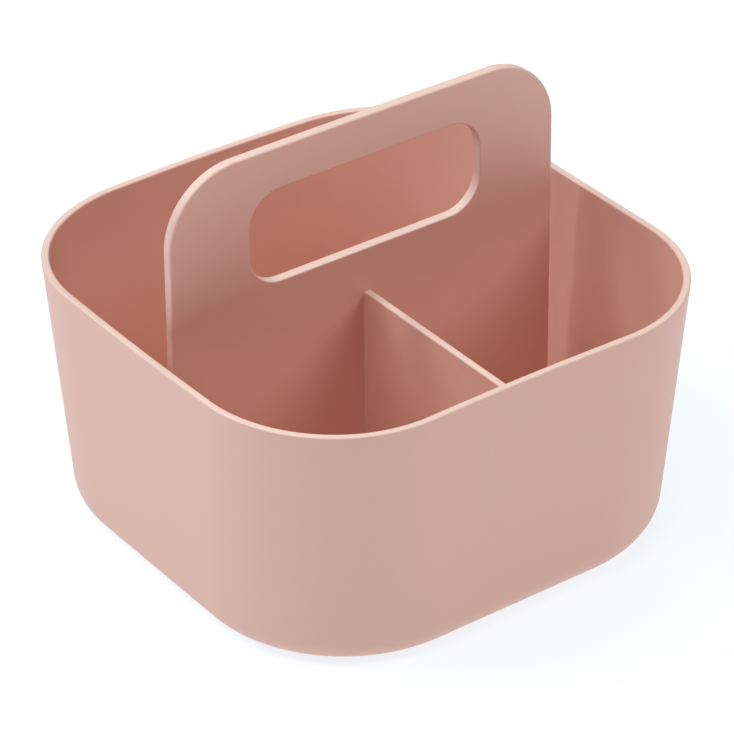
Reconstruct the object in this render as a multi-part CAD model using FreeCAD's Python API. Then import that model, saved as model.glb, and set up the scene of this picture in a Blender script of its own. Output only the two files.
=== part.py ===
import FreeCAD, Part
import math
import os
from FreeCAD import Vector

# Carry caddy: a square open bin, an upright handle panel with a hand hole, and a
# cross divider. Millimetres, +Z up, front of the caddy towards -Y.
# Origin: centre of the bin's footprint, on the plane the caddy stands on.

# ---- driving dimensions ----
RIM_SIDE = 200.0          # outer width and depth over the rim
BASE_SIDE = 190.0         # outer width and depth at the standing plane
RIM_CORNER = 56.0         # plan radius of the bin's corners at the rim
BASE_CORNER = 60.0        # plan radius of the bin's corners at the base
BIN_HEIGHT = 103.0
WALL = 3.0
FLOOR_TOP = 4.0           # height of the inside floor above the standing plane
BASE_ROUND = 12.0         # outside radius between wall and underside
FLOOR_ROUND = 9.0         # inside radius between wall and floor
LIP_ROUND = 0.8

UNDERSIDE_RECESS = 1.0    # the middle of the underside stands clear of the table
RECESS_SIDE = 148.0
RECESS_CORNER = 42.0

PANEL_THICKNESS = 4.2
PANEL_TOP = 163.5
PANEL_TOP_WIDTH = 169.0
PANEL_FOOT_WIDTH = 171.0
PANEL_TOP_CORNER = 28.5
PANEL_FOOT_CORNER = 12.0
PANEL_EDGE_ROUND = 0.9
HAND_HOLE_WIDTH = 102.0
HAND_HOLE_HEIGHT = 37.5
HAND_HOLE_CORNER = 13.5
HAND_HOLE_CENTRE = 128.0

DIVIDER_THICKNESS = 3.0
DIVIDER_TOP = 91.2
DIVIDER_TOP_ROUND = 0.7
DIVIDER_FLARE = 0.9       # radius of the flared edge where the divider meets the panel
DIVIDER_FOOT_CORNER = 11.0
TONGUE_WIDTH = 2.0
TONGUE_DEPTH = 1.0
TONGUE_HEIGHT = 80.0

FIT = 0.15                # clearance on each side of a piece that drops into a channel
RIB = 2.0                 # thickness of the channel ribs
RIB_HEIGHT = 5.0
WALL_CHANNEL_DEPTH = 5.0
WALL_CHANNEL_TOP = 80.0
WALL_CHANNEL_SLOPE = 8.0  # the wall channel slopes back to the wall over this height
RIB_ROOT = 1.0            # the ribs start this far inside the floor and the front wall
CHANNEL_END = 70.0        # the panel's channel ends here, short of the side walls

SCREW_RADIUS = 1.5
SCREW_HEAD_RADIUS = 2.8
SCREW_LENGTH = 11.5       # countersunk screw, over the head
SCREW_TIP_RADIUS = 0.4
SCREW_TIP_LENGTH = 2.0
SCREW_CLEARANCE = 0.05
CROSS_SLOT_LENGTH = 3.0
CROSS_SLOT_WIDTH = 0.7
CROSS_SLOT_DEPTH = 0.9
BOSS_RADIUS = 3.9
BOSS_HEIGHT = 13.0
BOSS_ROUND = 1.5
BOSS_HOLE_SPARE = 1.0     # the hole goes this much deeper than the screw's tip
PANEL_SCREW_X = 46.0
DIVIDER_SCREW_Y = -50.0
BOSS_GAP = BOSS_RADIUS + 0.6


def along(start, end, z):
    """Value at height z of something that runs straight from the base to the rim."""
    return start + (end - start) * z / BIN_HEIGHT


def outer_side(z):
    return along(BASE_SIDE, RIM_SIDE, z)


def outer_corner(z):
    return along(BASE_CORNER, RIM_CORNER, z)


def inner_half(z):
    """Distance from the caddy's axis to the inside of a wall at height z."""
    return outer_side(z) / 2 - WALL


def rounded_square(side, corner, z):
    """Closed wire: a square with round corners, in the plane at height z."""
    half = side / 2
    inset = half - corner
    diagonal = corner * math.sqrt(0.5)
    edges = []
    for quarter in range(4):
        turn = FreeCAD.Rotation(Vector(0, 0, 1), 90 * quarter)
        centre = Vector(inset, inset, z)
        start = Vector(half, inset, z)
        middle = centre + Vector(diagonal, diagonal, 0)
        end = Vector(inset, half, z)
        flat_end = Vector(-inset, half, z)
        edges.append(Part.Arc(*[turn.multVec(p) for p in (start, middle, end)]).toShape())
        edges.append(Part.makeLine(turn.multVec(end), turn.multVec(flat_end)))
    return Part.Wire(edges)


def rounded_outline(corners):
    """Closed wire through (point, radius) corners; radius 0 keeps a corner sharp."""
    count = len(corners)
    stops = []
    for i, (point, radius) in enumerate(corners):
        back = (corners[i - 1][0] - point).normalize()
        ahead = (corners[(i + 1) % count][0] - point).normalize()
        if radius == 0:
            stops.append((point, None, point))
            continue
        half_angle = back.getAngle(ahead) / 2
        setback = radius / math.tan(half_angle)
        bisector = (back + ahead).normalize()
        middle = point + bisector * (radius / math.sin(half_angle) - radius)
        stops.append((point + back * setback, middle, point + ahead * setback))
    edges = []
    for i, (start, middle, end) in enumerate(stops):
        if middle is not None:
            edges.append(Part.Arc(start, middle, end).toShape())
        edges.append(Part.makeLine(end, stops[(i + 1) % count][0]))
    return Part.Wire(edges)


def prism(wire, direction):
    return Part.Face(wire).extrude(direction)


def block(x0, x1, y0, y1, z0, z1):
    return Part.makeBox(x1 - x0, y1 - y0, z1 - z0, Vector(x0, y0, z0))


def edges_at(shape, z):
    """Edges that lie wholly in the plane at height z."""
    return [e for e in shape.Edges if abs(e.BoundBox.ZMin - z) < 1e-4 and abs(e.BoundBox.ZMax - z) < 1e-4]


def screw_places():
    return {
        "panel_screw_left": (-PANEL_SCREW_X, 0.0),
        "panel_screw_right": (PANEL_SCREW_X, 0.0),
        "divider_screw": (0.0, DIVIDER_SCREW_Y),
    }


def boss(x, y):
    """Round boss on a partition's foot, with the screw's blind hole from below."""
    body = Part.makeCylinder(BOSS_RADIUS, BOSS_HEIGHT, Vector(x, y, FLOOR_TOP))
    return body.makeFillet(BOSS_ROUND, edges_at(body, FLOOR_TOP + BOSS_HEIGHT))


def pilot_hole(x, y):
    depth = UNDERSIDE_RECESS + SCREW_LENGTH + BOSS_HOLE_SPARE
    return Part.makeCylinder(SCREW_RADIUS + SCREW_CLEARANCE, depth, Vector(x, y, 0))


def countersink(clearance):
    """Cone of a screw head, its wide end on the recessed underside."""
    height = SCREW_HEAD_RADIUS - SCREW_RADIUS
    return Part.makeCone(SCREW_HEAD_RADIUS + clearance, SCREW_RADIUS + clearance, height,
                         Vector(0, 0, UNDERSIDE_RECESS))


def bin_shell():
    outside = Part.makeLoft([rounded_square(BASE_SIDE, BASE_CORNER, 0),
                             rounded_square(RIM_SIDE, RIM_CORNER, BIN_HEIGHT)], True, True)
    outside = outside.makeFillet(BASE_ROUND, edges_at(outside, 0))
    over = BIN_HEIGHT + WALL
    hollow = Part.makeLoft([rounded_square(2 * inner_half(z), outer_corner(z) - WALL, z)
                            for z in (FLOOR_TOP, over)], True, True)
    hollow = hollow.makeFillet(FLOOR_ROUND, edges_at(hollow, FLOOR_TOP))
    shell = outside.cut(hollow)
    shell = shell.makeFillet(LIP_ROUND, edges_at(shell, BIN_HEIGHT))
    recess = prism(rounded_square(RECESS_SIDE, RECESS_CORNER, 0), Vector(0, 0, UNDERSIDE_RECESS))
    return shell.cut(recess)


def channel_ribs():
    """Low ribs on the floor and the front wall that the two partitions drop between."""
    panel_slot = PANEL_THICKNESS / 2 + FIT
    divider_slot = DIVIDER_THICKNESS / 2 + FIT
    top = FLOOR_TOP + RIB_HEIGHT
    floor_front = -(inner_half(FLOOR_TOP) - FLOOR_ROUND)
    wall_front = -(inner_half(0) + RIB_ROOT)
    root = FLOOR_TOP - RIB_ROOT
    bars = block(-CHANNEL_END, CHANNEL_END, -panel_slot - RIB, panel_slot + RIB, root, top)
    bars = bars.fuse(block(-divider_slot - RIB, divider_slot + RIB, floor_front, 0, root, top))
    guide_top = WALL_CHANNEL_TOP
    guide_bend = guide_top - WALL_CHANNEL_SLOPE
    corners = [
        (Vector(0, wall_front, root), 0),
        (Vector(0, -inner_half(0) + FLOOR_ROUND + WALL_CHANNEL_DEPTH, root), 0),
        (Vector(0, -inner_half(FLOOR_ROUND) + WALL_CHANNEL_DEPTH, FLOOR_TOP + FLOOR_ROUND), 0),
        (Vector(0, -inner_half(guide_top) + WALL_CHANNEL_DEPTH, guide_bend), 0),
        (Vector(0, -inner_half(guide_top) - RIB_ROOT, guide_top), 0),
    ]
    guide = prism(rounded_outline(corners), Vector(2 * (divider_slot + RIB), 0, 0))
    guide.translate(Vector(-divider_slot - RIB, 0, 0))
    bars = bars.fuse(guide)
    far = RIM_SIDE
    slots = block(-far, far, -panel_slot, panel_slot, FLOOR_TOP, far)
    slots = slots.fuse(block(-divider_slot, divider_slot, -far, 0, FLOOR_TOP, far))
    flare_reach = DIVIDER_THICKNESS / 2 + DIVIDER_FLARE + FIT
    flare_front = -PANEL_THICKNESS / 2 - DIVIDER_FLARE - FIT
    slots = slots.fuse(block(-flare_reach, flare_reach, flare_front, 0, FLOOR_TOP, far))
    for x, y in screw_places().values():
        slots = slots.fuse(block(x - BOSS_GAP, x + BOSS_GAP, y - BOSS_GAP, y + BOSS_GAP, FLOOR_TOP, far))
    return bars.cut(slots)


def make_bin():
    middle = WALL / 2
    within = Part.makeLoft([rounded_square(outer_side(z) - WALL, outer_corner(z) - middle, z)
                            for z in (FLOOR_TOP - middle, BIN_HEIGHT - middle)], True, True)
    within = within.makeFillet(FLOOR_ROUND + middle, edges_at(within, FLOOR_TOP - middle))
    body = bin_shell().fuse(channel_ribs().common(within))
    for x, y in screw_places().values():
        sink = countersink(SCREW_CLEARANCE)
        sink.translate(Vector(x, y, 0))
        body = body.cut(pilot_hole(x, y)).cut(sink)
    return body.removeSplitter()


def make_handle_panel():
    front = -PANEL_THICKNESS / 2
    outline = rounded_outline([
        (Vector(-PANEL_FOOT_WIDTH / 2, front, FLOOR_TOP), PANEL_FOOT_CORNER),
        (Vector(PANEL_FOOT_WIDTH / 2, front, FLOOR_TOP), PANEL_FOOT_CORNER),
        (Vector(PANEL_TOP_WIDTH / 2, front, PANEL_TOP), PANEL_TOP_CORNER),
        (Vector(-PANEL_TOP_WIDTH / 2, front, PANEL_TOP), PANEL_TOP_CORNER),
    ])
    thick = Vector(0, PANEL_THICKNESS, 0)
    panel = prism(outline, thick)
    half_width = HAND_HOLE_WIDTH / 2
    half_height = HAND_HOLE_HEIGHT / 2
    hole = rounded_outline([
        (Vector(x, front, HAND_HOLE_CENTRE + z), HAND_HOLE_CORNER)
        for x, z in ((-half_width, -half_height), (half_width, -half_height),
                     (half_width, half_height), (-half_width, half_height))
    ])
    panel = panel.cut(prism(hole, thick))
    rims = [e for e in panel.Edges if e.BoundBox.YLength < 1e-4]
    panel = panel.makeFillet(PANEL_EDGE_ROUND, rims)
    foot_half = PANEL_FOOT_WIDTH / 2 - PANEL_FOOT_CORNER
    panel = panel.fuse(block(-foot_half, foot_half, front, -front, FLOOR_TOP, FLOOR_TOP + RIB))
    for x in (-PANEL_SCREW_X, PANEL_SCREW_X):
        panel = panel.fuse(boss(x, 0)).cut(pilot_hole(x, 0))
    groove_half = TONGUE_WIDTH / 2 + FIT / 2
    groove = block(-groove_half, groove_half, front, front + TONGUE_DEPTH + FIT,
                   FLOOR_TOP, FLOOR_TOP + TONGUE_HEIGHT + FIT)
    return panel.cut(groove).removeSplitter()


def make_cross_divider():
    half = DIVIDER_THICKNESS / 2
    back = -PANEL_THICKNESS / 2
    clear = 2 * FIT
    outline = rounded_outline([
        (Vector(-half, back, FLOOR_TOP), 0),
        (Vector(-half, -inner_half(FLOOR_TOP) + clear, FLOOR_TOP), DIVIDER_FOOT_CORNER),
        (Vector(-half, -inner_half(DIVIDER_TOP) + clear, DIVIDER_TOP), 0),
        (Vector(-half, back, DIVIDER_TOP), 0),
    ])
    blade = prism(outline, Vector(DIVIDER_THICKNESS, 0, 0))
    reach = half + DIVIDER_FLARE
    near = back - DIVIDER_FLARE
    arc_x = half + DIVIDER_FLARE * (1 - math.sqrt(0.5))
    arc_y = back - DIVIDER_FLARE * (1 - math.sqrt(0.5))
    flare = Part.Wire([
        Part.makeLine(Vector(-reach, back, FLOOR_TOP), Vector(reach, back, FLOOR_TOP)),
        Part.Arc(Vector(reach, back, FLOOR_TOP), Vector(arc_x, arc_y, FLOOR_TOP),
                 Vector(half, near, FLOOR_TOP)).toShape(),
        Part.makeLine(Vector(half, near, FLOOR_TOP), Vector(-half, near, FLOOR_TOP)),
        Part.Arc(Vector(-half, near, FLOOR_TOP), Vector(-arc_x, arc_y, FLOOR_TOP),
                 Vector(-reach, back, FLOOR_TOP)).toShape(),
    ])
    blade = blade.fuse(prism(flare, Vector(0, 0, DIVIDER_TOP - FLOOR_TOP))).removeSplitter()
    crest = [e for e in edges_at(blade, DIVIDER_TOP)
             if e.BoundBox.YMin < back - 1e-3 and e.BoundBox.YLength > 1e-3]
    blade = blade.makeFillet(DIVIDER_TOP_ROUND, crest)
    tongue = block(-TONGUE_WIDTH / 2, TONGUE_WIDTH / 2, back, back + TONGUE_DEPTH,
                   FLOOR_TOP, FLOOR_TOP + TONGUE_HEIGHT)
    blade = blade.fuse(tongue).fuse(boss(0, DIVIDER_SCREW_Y))
    return blade.cut(pilot_hole(0, DIVIDER_SCREW_Y)).removeSplitter()


def make_screw(x, y):
    """Countersunk screw driven up through the floor, with a cross recess in its head."""
    shank_length = SCREW_LENGTH - SCREW_TIP_LENGTH
    shank = Part.makeCylinder(SCREW_RADIUS, shank_length, Vector(0, 0, UNDERSIDE_RECESS))
    tip = Part.makeCone(SCREW_RADIUS, SCREW_TIP_RADIUS, SCREW_TIP_LENGTH,
                        Vector(0, 0, UNDERSIDE_RECESS + shank_length))
    screw = countersink(0).fuse(shank).fuse(tip)
    reach = CROSS_SLOT_LENGTH / 2
    side = CROSS_SLOT_WIDTH / 2
    for angle in (0, 90):
        arm = block(-reach, reach, -side, side, UNDERSIDE_RECESS, UNDERSIDE_RECESS + CROSS_SLOT_DEPTH)
        arm.rotate(Vector(0, 0, 0), Vector(0, 0, 1), angle)
        screw = screw.cut(arm)
    screw = screw.removeSplitter()
    screw.translate(Vector(x, y, 0))
    return screw


def main():
    os.makedirs("parts", exist_ok=True)
    pieces = {
        "bin": make_bin(),
        "handle_panel": make_handle_panel(),
        "cross_divider": make_cross_divider(),
    }
    for name, (x, y) in screw_places().items():
        pieces[name] = make_screw(x, y)
    for name, shape in pieces.items():
        if len(shape.Solids) != 1 or not shape.isValid():
            raise RuntimeError(name + " is not one valid solid")
        box = shape.BoundBox
        print("%-18s volume %9.1f mm3  x %.1f..%.1f  y %.1f..%.1f  z %.1f..%.1f" % (
            name, shape.Volume, box.XMin, box.XMax, box.YMin, box.YMax, box.ZMin, box.ZMax))
        shape.exportStep("parts/" + name + ".step")


main()
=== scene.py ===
"""Looks of the dusty rose carry caddy: tub, handle panel, cross divider and screws, round the frame."""
import math

import bmesh
import bpy
from mathutils import Matrix, Vector


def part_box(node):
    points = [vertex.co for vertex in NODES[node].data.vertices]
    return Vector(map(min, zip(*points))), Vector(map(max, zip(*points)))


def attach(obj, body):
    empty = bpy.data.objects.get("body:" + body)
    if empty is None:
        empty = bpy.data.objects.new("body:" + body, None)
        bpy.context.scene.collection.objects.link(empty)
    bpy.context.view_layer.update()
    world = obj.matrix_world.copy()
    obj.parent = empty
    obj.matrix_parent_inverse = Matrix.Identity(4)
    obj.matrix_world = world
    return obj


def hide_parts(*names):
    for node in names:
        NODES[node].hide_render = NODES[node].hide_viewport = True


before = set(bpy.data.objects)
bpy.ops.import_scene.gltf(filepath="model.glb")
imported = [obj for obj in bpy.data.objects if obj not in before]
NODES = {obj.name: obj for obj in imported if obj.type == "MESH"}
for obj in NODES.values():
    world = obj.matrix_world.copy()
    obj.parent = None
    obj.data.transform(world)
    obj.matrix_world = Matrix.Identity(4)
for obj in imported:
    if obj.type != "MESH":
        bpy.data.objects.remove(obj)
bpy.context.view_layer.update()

MM = 0.001
BODY = "root"

# ---- sizes taken from the frame ----
BIN_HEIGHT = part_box("bin")[1].z
PANEL_LOW, PANEL_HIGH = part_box("handle_panel")
FLOOR_TOP = PANEL_LOW.z
PANEL_TOP = PANEL_HIGH.z
DIVIDER_LOW, DIVIDER_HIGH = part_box("cross_divider")
DIVIDER_FRONT = DIVIDER_LOW.y
DIVIDER_TOP = DIVIDER_HIGH.z
PANEL_SCREWS = ("panel_screw_left", "panel_screw_right")
SCREWS = (*PANEL_SCREWS, "divider_screw")

# ---- the tub ----
RIM_SIDE = 200 * MM
BASE_SIDE = 190 * MM
RIM_CORNER = 56 * MM
BASE_CORNER = 60 * MM
WALL = 3.0 * MM
LIP_ROUND = 0.8 * MM
BASE_ROUND = 12 * MM
FLOOR_ROUND = 9 * MM
RECESS_DEPTH = 1.0 * MM      # the middle of the underside stands clear of the table
RECESS_OFFSET = 21 * MM      # width of the ring that the caddy stands on
RECESS_SLOPE = 0.6 * MM
RECESS_ROUND = 0.4 * MM
CAP_OFFSET = 50 * MM         # from here inwards, floor and underside only shrink towards their middle
BOW = {"Front": -1.2 * MM, "Rear": 1.8 * MM, "Left": 0.9 * MM}   # how far each wall bows out at its rim
BOW_REACH = 0.36             # half length of the bow, as a share of the rim side
BOW_WALL = 0.3               # what is further out than this share of the base side is that wall
COLUMNS = 224                # columns of faces round the tub
CORNER_SHARE = 0.6           # share of the columns that the corners get
WALL_ROWS = 12
WELL_RADIUS = 3.1 * MM       # screw wells in the underside
WELL_END_RADIUS = 1.5 * MM
WELL_BELOW = 0.25 * MM
WELL_DEPTH = 1.35 * MM

# ---- the channels that hold the partitions ----
FIT = 0.15 * MM
RIB = 2 * MM
RIB_HEIGHT = 5 * MM
RIB_ROOT = 1 * MM            # the ribs start this far inside the floor
RIB_ROUND = 0.6 * MM
CHANNEL_END = 70 * MM
GUIDE_DEPTH = 5 * MM
GUIDE_TOP = 80 * MM
GUIDE_SLOPE = 8 * MM
GUIDE_ROOT = 1.2 * MM        # the guides start this far inside the floor and the wall

# ---- the handle panel ----
PANEL_THICKNESS = 4.2 * MM
PANEL_EDGE_ROUND = 0.9 * MM
HOLE_EDGE_ROUND = 0.6 * MM
PANEL_TOP_WIDTH = 169 * MM
PANEL_FOOT_WIDTH = 171 * MM
PANEL_TOP_CORNER = 28.5 * MM
PANEL_FOOT_CORNER = 12 * MM
PANEL_CROWN = 0.4 * MM       # the top edge drops this much towards its ends
HAND_HOLE = (102 * MM, 37.5 * MM)
HAND_HOLE_CORNER = 13.5 * MM
HAND_HOLE_CENTRE = 128 * MM
FACE_MARGIN = 0.5 * MM       # narrow band of faces that keeps the flat faces' shading flat

# ---- the cross divider ----
DIVIDER_THICKNESS = 3.0 * MM
DIVIDER_TOP_ROUND = 0.7 * MM
DIVIDER_FLARE = 0.9 * MM     # radius of the flared edge where the divider meets the panel
DIVIDER_FOOT_CORNER = 11 * MM
DIVIDER_OVERLAP = 0.3 * MM   # the blade runs this far into the panel, so that no gap shows
BLADE_ROWS = [4 * MM, 8 * MM, 16 * MM, 32 * MM, 48 * MM, 64 * MM, 74 * MM]

# ---- bosses that the screws go into ----
BOSS_RADIUS = 3.9 * MM
BOSS_HEIGHT = 13 * MM
BOSS_TAPER = 0.9
BOSS_LIFT = 0.01 * MM
BOSS_GAP = BOSS_RADIUS + 0.6 * MM

# ---- mesh detail ----
SHARP_ANGLE = math.radians(35)
HIGHLIGHT_BAND = 0.6              # share of an edge's rounding that gets the painted highlight on its top
FACE_SKIN = 0.1 * MM         # what is nearer to a flat face than this isn't edge
SAME_POINT = 0.0001 * MM


# ---------------------------------------------------------------- node trees
class Value:
    """What flows out of a node. Arithmetic on it adds Math nodes to the same tree."""

    def __init__(self, graph, socket):
        self.graph = graph
        self.socket = socket

    def at(self, output):
        return Value(self.graph, self.socket.node.outputs[output])

    def math(self, operation, *terms):
        return self.graph.node("ShaderNodeMath", {"operation": operation}, dict(enumerate(terms)))

    def __add__(self, other):
        return self.math("ADD", self, other)

    def __radd__(self, other):
        return self.math("ADD", other, self)

    def __sub__(self, other):
        return self.math("SUBTRACT", self, other)

    def __rsub__(self, other):
        return self.math("SUBTRACT", other, self)

    def __mul__(self, other):
        return self.math("MULTIPLY", self, other)

    def __rmul__(self, other):
        return self.math("MULTIPLY", other, self)

    def __truediv__(self, other):
        return self.math("DIVIDE", self, other)

    def __rtruediv__(self, other):
        return self.math("DIVIDE", other, self)

    def __pow__(self, other):
        return self.math("POWER", self, other)

    def min(self, other):
        return self.math("MINIMUM", self, other)

    def max(self, other):
        return self.math("MAXIMUM", self, other)


class Graph:
    """Builds one node tree."""

    def __init__(self, tree):
        self.tree = tree

    def node(self, kind, settings=None, values=None):
        """Adds a node: settings first, then a number, link or datablock for each named socket."""
        made = self.tree.nodes.new(kind)
        for name, setting in (settings or {}).items():
            setattr(made, name, setting)
        for name, value in (values or {}).items():
            if isinstance(value, Value):
                self.tree.links.new(value.socket, made.inputs[name])
            else:
                made.inputs[name].default_value = value
        return Value(self, next(o for o in made.outputs if o.enabled)) if made.outputs else made

    def blend(self, how, factor, first, second):
        """Mixes two colours."""
        mixed = self.node("ShaderNodeMix", {"data_type": "RGBA", "blend_type": how},
                          {0: factor, 6: first, 7: second})
        return Value(self, mixed.socket.node.outputs[2])


# ---------------------------------------------------------------- mesh helpers
def new_object(name, mesh):
    piece = bpy.data.objects.new(name, mesh)
    bpy.context.scene.collection.objects.link(piece)
    return piece


def shade(mesh):
    """Smooth shading; edges over the sharp angle stay crisp."""
    mesh.polygons.foreach_set("use_smooth", [True] * len(mesh.polygons))
    mesh.set_sharp_from_angle(angle=SHARP_ANGLE)


def object_from(bm, name):
    """Turns a bmesh into an object, with its faces outwards."""
    bmesh.ops.remove_doubles(bm, verts=bm.verts, dist=SAME_POINT)
    bmesh.ops.recalc_face_normals(bm, faces=bm.faces)
    mesh = bpy.data.meshes.new(name)
    bm.to_mesh(mesh)
    bm.free()
    shade(mesh)
    return new_object(name, mesh)


def evaluated(piece):
    """Replaces a piece's mesh by what its modifiers make, and removes them."""
    graph = bpy.context.evaluated_depsgraph_get()
    mesh = bpy.data.meshes.new_from_object(piece.evaluated_get(graph))
    old = piece.data
    piece.modifiers.clear()
    piece.data = mesh
    mesh.name = piece.name
    bpy.data.meshes.remove(old)
    return piece


def boolean(piece, operation, tools):
    """Joins or cuts a piece with closed tool objects, which are used up."""
    for tool in tools:
        step = piece.modifiers.new(tool.name, "BOOLEAN")
        step.operation = operation
        step.solver = "EXACT"
        step.object = tool
    evaluated(piece)
    for tool in tools:
        bpy.data.objects.remove(tool)
    shade(piece.data)
    return piece


def rounded_path(corners, steps=8, closed=True):
    """Points of a path through (x, z, radius) corners, with each corner turned into an arc."""
    count = len(corners)
    path = []
    for i, (x, z, radius) in enumerate(corners):
        here = Vector((x, z))
        if radius == 0 or (not closed and i in (0, count - 1)):
            path.append(here)
            continue
        back = (Vector(corners[i - 1][:2]) - here).normalized()
        ahead = (Vector(corners[(i + 1) % count][:2]) - here).normalized()
        half = back.angle(ahead) / 2
        centre = here + (back + ahead).normalized() * (radius / math.sin(half))
        start = here + back * (radius / math.tan(half)) - centre
        sweep = math.pi - 2 * half
        turn = -1 if back.x * ahead.y - back.y * ahead.x > 0 else 1
        for k in range(steps + 1):
            angle = turn * sweep * k / steps
            path.append(centre + Matrix.Rotation(angle, 2) @ start)
    return path


def straight(start, end, pieces):
    """Points strictly between two ends."""
    return [start.lerp(end, k / pieces) for k in range(1, pieces)]


def paint_edge_highlight(piece, in_highlight_band):
    """Marks the points on a moulding's upturned edges for a painted highlight, which makes them paler than
    its faces; the mark grows as the surface turns to face up.
    """
    mark = piece.data.attributes.new("edge", "FLOAT", "POINT")
    mark.data.foreach_set("value", [max(0.0, v.normal.z) * in_highlight_band(v.co) for v in piece.data.vertices])
    return piece


def ring(bm, points):
    return [bm.verts.new(p) for p in points]


def bridge(bm, first, second, closed=True):
    """Quads between two rings with the same number of points."""
    count = len(first)
    for i in range(count if closed else count - 1):
        j = (i + 1) % count
        bm.faces.new((first[i], first[j], second[j], second[i]))


# ---------------------------------------------------------------- the tub
def half_side(z):
    """How far the outside of a wall stands from the caddy's middle at height z."""
    return (BASE_SIDE + (RIM_SIDE - BASE_SIDE) * z / BIN_HEIGHT) / 2


def inner_wall(z):
    return half_side(z) - WALL


def tub_profile():
    """Section through one wall: x is how far in from the outer face, z the height."""
    corners = [
        (half_side(RECESS_DEPTH), RECESS_DEPTH, 0),
        (RECESS_OFFSET, RECESS_DEPTH, RECESS_ROUND),
        (RECESS_OFFSET - RECESS_SLOPE, 0, RECESS_ROUND),
        (0, 0, BASE_ROUND),
        (0, BIN_HEIGHT, LIP_ROUND),
        (WALL, BIN_HEIGHT, LIP_ROUND),
        (WALL, FLOOR_TOP, FLOOR_ROUND),
        (half_side(FLOOR_TOP), FLOOR_TOP, 0),
    ]
    path = rounded_path(corners, 12, closed=False)
    points = []
    for here, there in zip(path, path[1:]):
        is_wall = abs(there.y - here.y) > BIN_HEIGHT / 2
        points.append(here)
        points += straight(here, there, WALL_ROWS if is_wall else 1)
    points.append(path[-1])
    mesh = bpy.data.meshes.new("tub_profile")
    mesh.from_pydata([(p.x, 0, p.y) for p in points], [(i, i + 1) for i in range(len(points) - 1)], [])
    return mesh


def tub_tree():
    """Sweeps a wall section round a rounded square whose side and corner radius change with height."""
    tree = bpy.data.node_groups.new("tub_sweep", "GeometryNodeTree")
    tree.interface.new_socket("Geometry", in_out="OUTPUT", socket_type="NodeSocketGeometry")
    tree.interface.new_socket("Section", in_out="INPUT", socket_type="NodeSocketGeometry")
    for name in ("Rim Side", "Base Side", "Rim Corner", "Base Corner", "Height", "Cap Offset",
                 "Front Bow", "Rear Bow", "Left Bow"):
        tree.interface.new_socket(name, in_out="INPUT", socket_type="NodeSocketFloat")
    tree.interface.new_socket("Around", in_out="INPUT", socket_type="NodeSocketInt")
    tree.interface.new_socket("Material", in_out="INPUT", socket_type="NodeSocketMaterial")
    g = Graph(tree)
    given = g.node("NodeGroupInput")
    section = given.at("Section")
    count = g.node("GeometryNodeAttributeDomainSize", {"component": "MESH"}, {"Geometry": section})
    grid = g.node("GeometryNodeMeshGrid", None, {
        "Size X": 1.0, "Size Y": 1.0, "Vertices X": given.at("Around") + 1, "Vertices Y": count})
    place = g.node("GeometryNodeInputPosition")
    spot = g.node("ShaderNodeSeparateXYZ", None, {"Vector": place})
    step = (spot.at("Y") + 0.5) * (count - 1)
    step = step.math("ROUND", step)
    sample = g.node("GeometryNodeSampleIndex", {"data_type": "FLOAT_VECTOR", "domain": "POINT"}, {
        "Geometry": section, "Value": place, "Index": step})
    cut = g.node("ShaderNodeSeparateXYZ", None, {"Vector": sample})
    inward = cut.at("X")
    height = cut.at("Z")
    rise = height / given.at("Height")
    half = (given.at("Base Side") + (given.at("Rim Side") - given.at("Base Side")) * rise) / 2
    corner = given.at("Base Corner") + (given.at("Rim Corner") - given.at("Base Corner")) * rise
    offset = inward.min(given.at("Cap Offset"))
    shrink = (half - inward) / (half - offset)
    inset = half - corner
    radius = corner - offset
    turn = (spot.at("X") + 0.5) * 4
    quarter = turn.math("FLOOR", turn + 1e-5)
    part = (turn - quarter).max(0)
    angle = (part / CORNER_SHARE).min(1) * (math.pi / 2)
    along = ((part - CORNER_SHARE) / (1 - CORNER_SHARE)).max(0)
    x = (inset * (1 - 2 * along) + radius * angle.math("COSINE", angle)) * shrink
    y = (inset + radius * angle.math("SINE", angle)) * shrink
    flat = g.node("ShaderNodeCombineXYZ", None, {"X": x, "Y": y, "Z": height})
    turned = g.node("ShaderNodeVectorRotate", {"rotation_type": "Z_AXIS"}, {
        "Vector": flat, "Angle": quarter * (math.pi / 2)})
    final = g.node("ShaderNodeSeparateXYZ", None, {"Vector": turned})
    x, y = final.at("X"), final.at("Y")

    def swell(name, along, out):
        """How far one wall bows out: most at the middle of its rim, nothing at its ends or at the base."""
        share = along / (given.at("Rim Side") * BOW_REACH)
        this_wall = out.math("GREATER_THAN", out, given.at("Base Side") * BOW_WALL)
        return (1 - share * share).max(0) ** 2 * rise * rise * this_wall * given.at(name)

    bowed = g.node("ShaderNodeCombineXYZ", None, {
        "X": x - swell("Left Bow", y, x * -1),
        "Y": y + swell("Rear Bow", x, y) - swell("Front Bow", x, y * -1),
        "Z": final.at("Z")})
    shell = g.node("GeometryNodeSetPosition", None, {"Geometry": grid, "Position": bowed})
    shell = g.node("GeometryNodeMergeByDistance", None, {"Geometry": shell, "Distance": 1e-6})
    shell = g.node("GeometryNodeSetShadeSmooth", None, {"Geometry": shell})
    shell = g.node("GeometryNodeRealizeInstances", None, {"Geometry": shell})
    shell = g.node("GeometryNodeSetMaterial", None, {"Geometry": shell, "Material": given.at("Material")})
    g.node("NodeGroupOutput", None, {"Geometry": shell})
    return tree


def cylinder(name, radius, low, high, centre, top_radius):
    """A closed upright cylinder with a taper."""
    bm = bmesh.new()
    place = Matrix.Translation((centre.x, centre.y, (low + high) / 2))
    bmesh.ops.create_cone(bm, cap_ends=True, segments=48, radius1=radius, radius2=top_radius,
                          depth=high - low, matrix=place)
    return object_from(bm, name)


def boss(screw):
    """Boss on a partition's foot that a screw goes into."""
    return cylinder("boss_" + screw, BOSS_RADIUS, FLOOR_TOP + BOSS_LIFT, FLOOR_TOP + BOSS_HEIGHT,
                    screw_centre(screw), BOSS_RADIUS * BOSS_TAPER)


def screw_centre(name):
    low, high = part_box(name)
    return (low + high) / 2


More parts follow.
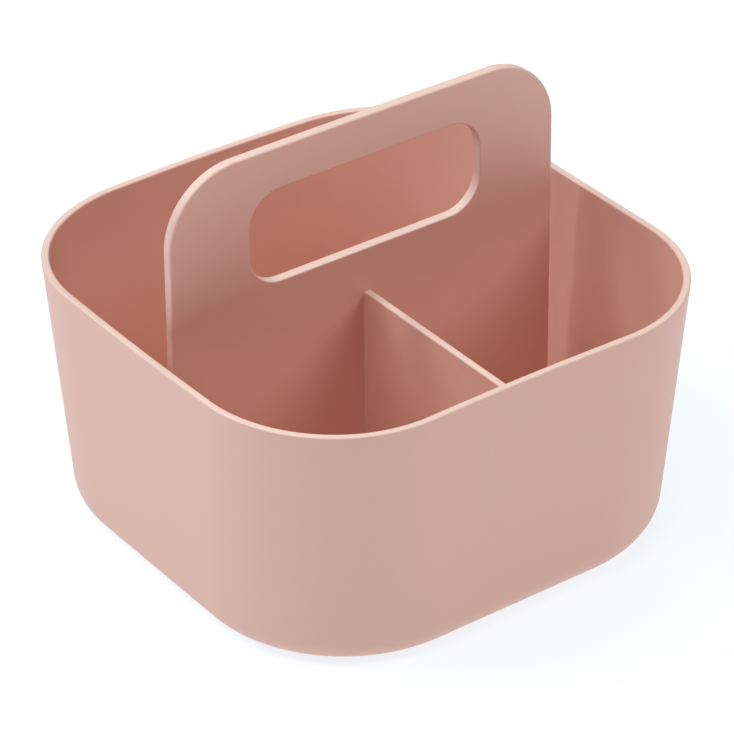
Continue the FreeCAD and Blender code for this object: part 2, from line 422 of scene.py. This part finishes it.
def tub(material):
    piece = new_object("tub", tub_profile())
    sweep = piece.modifiers.new("sweep", "NODES")
    sweep.node_group = tub_tree()
    sizes = {
        "Rim Side": RIM_SIDE, "Base Side": BASE_SIDE, "Rim Corner": RIM_CORNER, "Base Corner": BASE_CORNER,
        "Height": BIN_HEIGHT, "Cap Offset": CAP_OFFSET, "Around": COLUMNS,
        "Material": material,
    }
    for wall, bow in BOW.items():
        sizes[wall + " Bow"] = bow
    for item in sweep.node_group.interface.items_tree:
        if item.name in sizes:
            sweep[item.identifier] = sizes[item.name]
    evaluated(piece)
    bm = bmesh.new()
    bm.from_mesh(piece.data)
    bmesh.ops.recalc_face_normals(bm, faces=bm.faces)
    bm.to_mesh(piece.data)
    bm.free()
    wells = []
    for name in SCREWS:
        centre = screw_centre(name)
        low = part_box(name)[0].z
        wells.append(cylinder("well_" + name, WELL_RADIUS, low - WELL_BELOW, low + WELL_DEPTH, centre,
                              WELL_END_RADIUS))
    boolean(piece, "DIFFERENCE", wells)
    # the rim's upturned lip gets the painted highlight
    return paint_edge_highlight(piece, lambda p: p.z > BIN_HEIGHT - HIGHLIGHT_BAND * LIP_ROUND)


# ---------------------------------------------------------------- the channel ribs in the tub
def rib(bm, low, high):
    """A plain bar between two corners."""
    size = high - low
    place = Matrix.Translation((low + high) / 2) @ Matrix.Diagonal((*size, 1))
    bmesh.ops.create_cube(bm, size=1.0, matrix=place)


def wall_guide(bm, x0, x1):
    """Fin on the front wall that holds one side of the divider's front edge."""
    heel = FLOOR_TOP + FLOOR_ROUND
    toe = -inner_wall(0) + FLOOR_ROUND
    knee = 1.5 * GUIDE_ROOT
    side = [
        (-inner_wall(heel) - GUIDE_ROOT, heel), (-inner_wall(0) + knee, FLOOR_TOP + knee),
        (toe, FLOOR_TOP - GUIDE_ROOT), (toe + GUIDE_DEPTH, FLOOR_TOP - GUIDE_ROOT),
        (-inner_wall(heel) + GUIDE_DEPTH, heel),
        (-inner_wall(GUIDE_TOP) + GUIDE_DEPTH, GUIDE_TOP - GUIDE_SLOPE),
        (-inner_wall(GUIDE_TOP) - GUIDE_ROOT, GUIDE_TOP)]
    near, far = [ring(bm, [(x, y, z) for y, z in side]) for x in (x0, x1)]
    bridge(bm, near, far)
    bm.faces.new(near)
    bm.faces.new(far)


def channel_ribs():
    """Low bars on the floor and fins on the front wall that the partitions drop between."""
    top = FLOOR_TOP + RIB_HEIGHT
    sunk = FLOOR_TOP - RIB_ROOT
    panel_side = PANEL_THICKNESS / 2 + FIT
    divider_side = DIVIDER_THICKNESS / 2 + FIT
    flare = divider_side + DIVIDER_FLARE
    boss_x = abs(screw_centre("panel_screw_left").x)
    boss_y = screw_centre("divider_screw").y
    front_end = -(BASE_SIDE / 2 - WALL - FLOOR_ROUND)
    rear_end = -panel_side - RIB
    outer_spans = [(-CHANNEL_END, -boss_x - BOSS_GAP), (boss_x + BOSS_GAP, CHANNEL_END)]
    middle = boss_x - BOSS_GAP
    spans = {-1: [(-middle, -flare), (flare, middle)], 1: [(-middle, middle)]}
    bm = bmesh.new()
    for side in (-1, 1):
        y0, y1 = sorted((side * panel_side, side * (panel_side + RIB)))
        for x0, x1 in outer_spans + spans[side]:
            rib(bm, Vector((x0, y0, sunk)), Vector((x1, y1, top)))
        x0, x1 = sorted((side * divider_side, side * (divider_side + RIB)))
        for y0, y1 in ((front_end, boss_y - BOSS_GAP), (boss_y + BOSS_GAP, rear_end)):
            rib(bm, Vector((x0, y0, sunk)), Vector((x1, y1, top)))
        wall_guide(bm, x0, x1)
    piece = object_from(bm, "channel_ribs")
    rounding = piece.modifiers.new("rounding", "BEVEL")
    rounding.width = RIB_ROUND
    rounding.segments = 3
    rounding.limit_method = "ANGLE"
    return evaluated(piece)


# ---------------------------------------------------------------- the handle panel
def panel_outline(inset):
    """Outer edge of the panel, moved in by inset; the top edge is very slightly crowned."""
    foot = PANEL_FOOT_WIDTH / 2 - inset
    head = PANEL_TOP_WIDTH / 2 - inset
    low = FLOOR_TOP + inset
    high = PANEL_TOP - inset
    arc = 20
    path = rounded_path([
        (-foot, low, PANEL_FOOT_CORNER - inset), (foot, low, PANEL_FOOT_CORNER - inset),
        (head, high, PANEL_TOP_CORNER - inset), (-head, high, PANEL_TOP_CORNER - inset)], arc)
    top_start = 3 * (arc + 1)
    points = path[:top_start]
    points += straight(path[top_start - 1], path[top_start], 16)
    points += path[top_start:]
    reach = head - PANEL_TOP_CORNER
    drop = []
    for p in points:
        rise = min(1, max(0, (p.y - PANEL_TOP + PANEL_TOP_CORNER) / PANEL_TOP_CORNER))
        drop.append(PANEL_CROWN * rise * min(1, (p.x / head) ** 2))
    return [Vector((p.x, p.y - d)) for p, d in zip(points, drop)]


def hole_outline(outset):
    half_w = HAND_HOLE[0] / 2 + outset
    half_h = HAND_HOLE[1] / 2 + outset
    radius = HAND_HOLE_CORNER + outset
    z = HAND_HOLE_CENTRE
    return rounded_path([(-half_w, z - half_h, radius), (half_w, z - half_h, radius),
                         (half_w, z + half_h, radius), (-half_w, z + half_h, radius)], 16)


def rounded_rim(bm, outline, radius, steps=6):
    """Edge between the panel's two faces, rounded on both sides; returns the rings where the faces start."""
    face = PANEL_THICKNESS / 2
    rings = []
    layers = [(radius + FACE_MARGIN, face)]
    for side in (1, -1):
        for k in range(steps + 1):
            angle = math.pi / 2 * (k if side > 0 else steps - k) / steps
            layers.append((radius * (1 - math.sin(angle)), side * (face - radius + radius * math.cos(angle))))
    layers.append((radius + FACE_MARGIN, -face))
    for inset, y in layers:
        rings.append(ring(bm, [(p.x, y, p.y) for p in outline(inset)]))
    for first, second in zip(rings, rings[1:]):
        bridge(bm, first, second)
    return rings[0], rings[-1]


def loop_edges(bm, verts):
    return [bm.edges.get((verts[i], verts[(i + 1) % len(verts)])) for i in range(len(verts))]


def handle_panel():
    bm = bmesh.new()
    outer = rounded_rim(bm, panel_outline, PANEL_EDGE_ROUND)
    inner = rounded_rim(bm, hole_outline, HOLE_EDGE_ROUND)
    for outer_loop, inner_loop in zip(outer, inner):
        bmesh.ops.triangle_fill(bm, use_beauty=True, use_dissolve=False,
                                edges=loop_edges(bm, outer_loop) + loop_edges(bm, inner_loop))
    piece = object_from(bm, "panel")
    boolean(piece, "UNION", [boss(screw) for screw in PANEL_SCREWS])
    # the panel's upturned rounded edges get the painted highlight
    return paint_edge_highlight(piece, lambda p: abs(p.y) < PANEL_THICKNESS / 2 - FACE_SKIN)


# ---------------------------------------------------------------- the cross divider
def divider_half_width(distance):
    """Half thickness of the divider at a distance from the panel's face: it flares as it meets the panel."""
    short = max(0, DIVIDER_FLARE - distance)
    return DIVIDER_THICKNESS / 2 + DIVIDER_FLARE - math.sqrt(DIVIDER_FLARE ** 2 - short ** 2)


def divider_rows(blade_end):
    """Distances from the divider's rear end at which it has a row of points."""
    flare_steps, foot_steps = 10, 8
    rows = [DIVIDER_FLARE * (1 - math.cos(math.pi / 2 * k / flare_steps)) for k in range(flare_steps + 1)]
    rows += BLADE_ROWS
    for k in range(1, foot_steps + 1):
        rows.append(blade_end + DIVIDER_FOOT_CORNER * math.sin(math.pi / 2 * k / foot_steps))
    return rows


def cross_divider():
    """Blade from the panel's groove to the front wall, with a rounded foot corner and a rounded top edge."""
    back = -PANEL_THICKNESS / 2 + DIVIDER_OVERLAP
    front_low = DIVIDER_FRONT + half_side(DIVIDER_TOP) - half_side(FLOOR_TOP)
    foot = DIVIDER_FOOT_CORNER
    blade_end = back - front_low - foot
    crest = 8
    bm = bmesh.new()
    rings = []
    for depth in divider_rows(blade_end):
        y = back - depth
        past = max(0, depth - blade_end)
        bottom = FLOOR_TOP + foot - math.sqrt(max(0, foot ** 2 - past ** 2))
        width = divider_half_width(depth)
        top_round = min(width, DIVIDER_TOP_ROUND)
        lean = (DIVIDER_FRONT - front_low) * past / foot
        points = [(-width, y, bottom)]
        for k in range(2 * crest + 1):
            angle = math.pi * k / (2 * crest)
            side = (k < crest) - (k > crest)
            x = -(width - top_round) * side - top_round * math.cos(angle)
            points.append((x, y + lean, DIVIDER_TOP - top_round + top_round * math.sin(angle)))
        points.append((width, y, bottom))
        rings.append(ring(bm, points))
    for first, second in zip(rings, rings[1:]):
        bridge(bm, first, second)
    bm.faces.new(rings[0])
    bm.faces.new(rings[-1])
    piece = object_from(bm, "divider")
    boolean(piece, "UNION", [boss("divider_screw")])
    # the divider's rounded top gets the painted highlight
    return paint_edge_highlight(piece, lambda p: p.z > DIVIDER_TOP - HIGHLIGHT_BAND * DIVIDER_TOP_ROUND)


# ---------------------------------------------------------------- materials
def new_material(name):
    material = bpy.data.materials.new(name)
    material.use_nodes = True
    material.node_tree.nodes.clear()
    return material, Graph(material.node_tree)


PLASTIC = (0.765, 0.426, 0.342, 1.0)
# painted highlight: the paler colour that upturned edges get in place of the light falling on them
PAINTED_EDGE_HIGHLIGHT = (0.85, 0.60, 0.50, 1.0)
SKIN_ROUGHNESS = 0.5
SKIN_SPECULAR = 1.0
CLOUD_TINT = 0.05            # how far the cloudiness changes the colour, and the gloss
CLOUD_GLOSS = 0.12
GRAIN_TINT = 0.03
ZINC = (0.55, 0.56, 0.58, 1.0)


def moulded_plastic(name, seed):
    """Matte moulded plastic: fine tooled grain, faint cloudiness in colour and gloss, and a painted highlight
    that makes the upturned edges paler.
    """
    material, g = new_material(name)
    spot = g.node("ShaderNodeTexCoord").at("Object")
    cloud = g.node("ShaderNodeTexNoise", {"noise_dimensions": "4D"}, {
        "Vector": spot, "W": seed, "Scale": 14.0, "Detail": 3.0, "Roughness": 0.5})
    grain = g.node("ShaderNodeTexNoise", {"noise_dimensions": "4D"}, {
        "Vector": spot, "W": seed + 5, "Scale": 900.0, "Detail": 2.0, "Roughness": 0.5})
    tone = (cloud - 0.5) * CLOUD_TINT + (grain - 0.5) * GRAIN_TINT + 1.0
    # edge is the painted highlight mask: upturned edges are mixed towards a paler colour that stands in for
    # the light falling on them
    edge = g.node("ShaderNodeAttribute", {"attribute_name": "edge"}).at("Fac")
    colour = g.blend("MULTIPLY", 1.0, g.blend("MIX", edge, PLASTIC, PAINTED_EDGE_HIGHLIGHT), tone)
    bump = g.node("ShaderNodeBump", None, {"Strength": 0.15, "Distance": 0.0002, "Height": grain})
    skin = g.node("ShaderNodeBsdfPrincipled", None, {
        "Base Color": colour, "Roughness": SKIN_ROUGHNESS + (cloud - 0.5) * CLOUD_GLOSS,
        "IOR": 1.49, "Specular IOR Level": SKIN_SPECULAR, "Normal": bump})
    g.node("ShaderNodeOutputMaterial", None, {"Surface": skin})
    return material


def zinc_plate():
    """Screws: bright zinc with a fine grain."""
    material, g = new_material("zinc_plate")
    spot = g.node("ShaderNodeTexCoord").at("Object")
    grain = g.node("ShaderNodeTexNoise", None, {"Vector": spot, "Scale": 1500.0, "Detail": 3.0})
    bump = g.node("ShaderNodeBump", None, {"Strength": 0.2, "Distance": 0.0001, "Height": grain})
    skin = g.node("ShaderNodeBsdfPrincipled", None, {
        "Base Color": ZINC, "Metallic": 1.0, "Roughness": 0.25 + grain * 0.2, "Normal": bump})
    g.node("ShaderNodeOutputMaterial", None, {"Surface": skin})
    return material


TABLE_TOP = (0.36, 0.37, 0.38, 1.0)
TABLE_GLOW = (0.86, 0.95, 1.0, 1.0)
TABLE_GLOW_STRENGTH = 0.77


def table_white():
    """Lit studio table: it glows, so that it stays near white in the caddy's shadow."""
    material, g = new_material("table_white")
    skin = g.node("ShaderNodeBsdfPrincipled", None, {
        "Base Color": TABLE_TOP, "Roughness": 0.9, "Specular IOR Level": 0.0,
        "Emission Color": TABLE_GLOW, "Emission Strength": TABLE_GLOW_STRENGTH})
    g.node("ShaderNodeOutputMaterial", None, {"Surface": skin})
    return material


# ---------------------------------------------------------------- stage
CAMERA_AZIMUTH = math.radians(-36.06)
CAMERA_ELEVATION = math.radians(32.27)
CAMERA_ROLL = math.radians(-0.44)
CAMERA_DISTANCE = 1.4068
CAMERA_LENS = 187.51         # millimetres, on a sensor 36 mm wide
AIM = Vector((0.00044, -0.00065, 0.05741))


def direction(azimuth, elevation):
    """Unit vector from the caddy: azimuth from the front (-Y) towards +X, both in radians."""
    level = math.cos(elevation)
    return Vector((math.sin(azimuth) * level, -math.cos(azimuth) * level, math.sin(elevation)))


def add_camera():
    data = bpy.data.cameras.new("camera")
    data.lens = CAMERA_LENS
    data.sensor_width = 36
    data.clip_start = 0.05
    data.clip_end = 50
    camera = bpy.data.objects.new("camera", data)
    bpy.context.scene.collection.objects.link(camera)
    back = direction(CAMERA_AZIMUTH, CAMERA_ELEVATION)
    camera.location = AIM + back * CAMERA_DISTANCE
    level = back.to_track_quat("Z", "Y").to_matrix()
    camera.rotation_euler = (level @ Matrix.Rotation(CAMERA_ROLL, 3, "Z")).to_euler()
    bpy.context.scene.camera = camera


COOL = (0.84, 0.965, 1.0)
NEUTRAL = (1.0, 1.0, 1.0)
WARM = (1.0, 0.95, 0.94)
SOFTBOX_DISTANCE = 1.6
TABLE_REACH = 6.0
SOFTBOXES = (
    # name, azimuth and elevation in degrees, width in metres, watts, colour
    ("left", -90, 35, 0.8, 3.3, COOL),
    ("left_key", -119, 40, 0.32, 3.6, COOL),
    ("rear_left", -150, 35, 0.8, 3.5, COOL),
    ("front_right", 30, 35, 0.8, 5.5, WARM),
    ("right", 60, 35, 0.8, 3.6, WARM),
    ("front_high", -60, 60, 0.8, 6.8, NEUTRAL),
    ("left_high", -120, 60, 0.8, 5.2, COOL),
    ("rear_high", 180, 60, 0.8, 4.3, NEUTRAL),
    ("right_high", 120, 60, 0.8, 5.0, NEUTRAL),
)


def add_softbox(name, azimuth, elevation, size, watts, colour):
    data = bpy.data.lights.new(name, "AREA")
    data.energy = watts
    data.shape = "DISK"
    data.size = size
    data.color = colour
    light = bpy.data.objects.new(name, data)
    bpy.context.scene.collection.objects.link(light)
    away = direction(math.radians(azimuth), math.radians(elevation))
    light.location = AIM + away * SOFTBOX_DISTANCE
    light.rotation_euler = away.to_track_quat("Z", "Y").to_euler()


def add_stage():
    """A pale table and softboxes all round; the room itself is dark."""
    bm = bmesh.new()
    bmesh.ops.create_grid(bm, x_segments=1, y_segments=1, size=TABLE_REACH)
    table = object_from(bm, "floor")
    table.data.materials.append(table_white())
    world = bpy.data.worlds.new("studio")
    world.use_nodes = True
    world.node_tree.nodes["Background"].inputs["Color"].default_value = (1, 1, 1, 1)
    world.node_tree.nodes["Background"].inputs["Strength"].default_value = 0.0
    bpy.context.scene.world = world
    for softbox in SOFTBOXES:
        add_softbox(*softbox)
    bpy.context.scene.view_settings.view_transform = "Standard"


# ---------------------------------------------------------------- assembly
def finish_piece(piece, material, slot, *stands_for):
    piece.data.materials.clear()
    piece.data.materials.append(material)
    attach(piece, BODY)
    if stands_for:
        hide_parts(*stands_for)


def main():
    bin_skin = moulded_plastic("bin_plastic", 1)
    panel_skin = moulded_plastic("panel_plastic", 2)
    divider_skin = moulded_plastic("divider_plastic", 3)
    finish_piece(tub(bin_skin), bin_skin, "bin_plastic", "bin")
    finish_piece(channel_ribs(), bin_skin, "bin_plastic")
    finish_piece(handle_panel(), panel_skin, "panel_plastic", "handle_panel")
    finish_piece(cross_divider(), divider_skin, "divider_plastic", "cross_divider")
    plate = zinc_plate()
    for name in SCREWS:
        NODES[name].data.materials.clear()
        NODES[name].data.materials.append(plate)
    add_stage()
    add_camera()


main()
